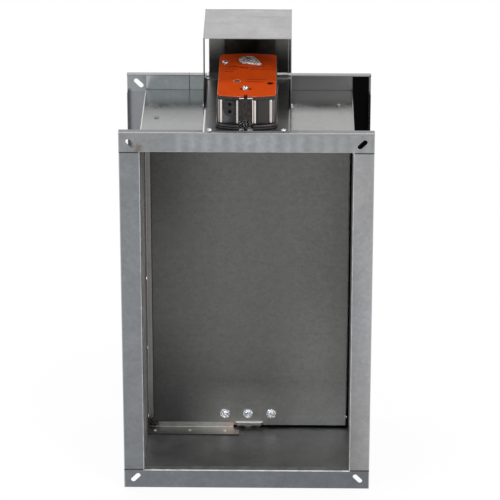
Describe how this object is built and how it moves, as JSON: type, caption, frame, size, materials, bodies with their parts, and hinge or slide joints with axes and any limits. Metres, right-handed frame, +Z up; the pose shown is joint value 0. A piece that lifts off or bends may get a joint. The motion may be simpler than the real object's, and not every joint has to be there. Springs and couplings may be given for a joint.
{
  "type": "fire damper",
  "caption": "Rectangular duct fire damper with a flanged sheet casing, one upright pivoting blade, and a spring-return drive on a bridge under a sheet hood.",
  "frame": {"origin": "middle of the base: halfway between the sides and between the two flange faces, level with the lower edges of the flanges", "axes": "+X right across the duct's width seen from the front, +Y along the duct away from the front flange, +Z up towards the drive"},
  "size_m": [0.36, 0.25, 0.667],
  "materials": {
    "galvanised_casing": "satin",
    "galvanised_flange": "satin",
    "blade_steel": "dull satin",
    "mineral_core": "matt",
    "swelling_strip": "matt",
    "black_gasket": "matt",
    "shaft_steel": "machined",
    "bush_bronze": "machined",
    "zinc_fastener": "bright zinc",
    "drive_plastic": "glossy",
    "bright_strip": "polished",
    "orange_label": "satin",
    "grommet_rubber": "matt",
    "pointer_zinc": "cast, satin"
  },
  "bodies": {
    "casing": {"top_panel": "galvanised_casing", "bottom_panel": "galvanised_casing", "left_panel": "galvanised_casing", "right_panel": "galvanised_casing", "front_flange_top": "galvanised_flange", "front_flange_bottom": "galvanised_flange", "front_flange_left": "galvanised_flange", "front_flange_right": "galvanised_flange", "rear_flange_top_left": "galvanised_flange", "rear_flange_top_right": "galvanised_flange", "rear_flange_bottom": "galvanised_flange", "rear_flange_left": "galvanised_flange", "rear_flange_right": "galvanised_flange", "front_stop_left": "galvanised_casing", "front_stop_bottom": "galvanised_casing", "front_stop_top": "galvanised_casing", "rear_stop_right": "galvanised_casing", "rear_stop_bottom": "galvanised_casing", "rear_stop_top": "galvanised_casing", "heat_seal_left": "swelling_strip", "heat_seal_right": "swelling_strip", "heat_seal_bottom": "swelling_strip", "heat_seal_top": "swelling_strip", "stop_rivets": "zinc_fastener", "flange_gasket": "black_gasket", "shaft_bush": "bush_bronze", "pivot_bush": "bush_bronze", "drive_bridge": "galvanised_casing", "bridge_screws": "zinc_fastener", "hood": "galvanised_flange", "hood_screws": "zinc_fastener", "drive_base": "drive_plastic", "drive_housing": "drive_plastic", "drive_cover": "drive_plastic", "label_plate": "orange_label", "cover_screws": "zinc_fastener", "drive_screws": "zinc_fastener", "front_strips": "bright_strip", "front_clip": "drive_plastic", "cable_grommet": "grommet_rubber"},
    "blade_unit": {"blade_front_skin": "blade_steel", "blade_rear_skin": "blade_steel", "blade_core": "mineral_core", "shaft_bracket": "galvanised_casing", "pivot_bracket": "galvanised_casing", "shaft_block": "shaft_steel", "pivot_block": "shaft_steel", "blade_bolts": "zinc_fastener", "blade_washers": "zinc_fastener", "blade_nuts": "zinc_fastener", "drive_shaft": "shaft_steel", "pivot_pin": "shaft_steel", "shaft_clamp": "shaft_steel", "position_pointer": "pointer_zinc"},
    "hand_winding": {"crank_socket": "shaft_steel"},
    "lock_catch": {"lock_knob": "drive_plastic"}
  },
  "joints": [
    {"name": "blade_turn", "type": "hinge", "parent": "casing", "child": "blade_unit", "pos_m": [0, 0.033, 0.28], "axis": [0, 0, -1], "range_deg": [0, 90], "stiffness_Nm_per_rad": 2, "springref_deg": -28.65},
    {"name": "crank_turn", "type": "hinge", "parent": "casing", "child": "hand_winding", "pos_m": [-0.014, -0.0504, 0.603], "axis": [0, 0, 1], "range_deg": [0, 1080]},
    {"name": "lock_turn", "type": "hinge", "parent": "casing", "child": "lock_catch", "pos_m": [0.0327, -0.0595, 0.606], "axis": [0, 0, 1], "range_deg": [0, 90]}
  ],
  "couplings": [
    {"joint": "crank_turn", "follows": "blade_turn", "ratio": 12}
  ]
}
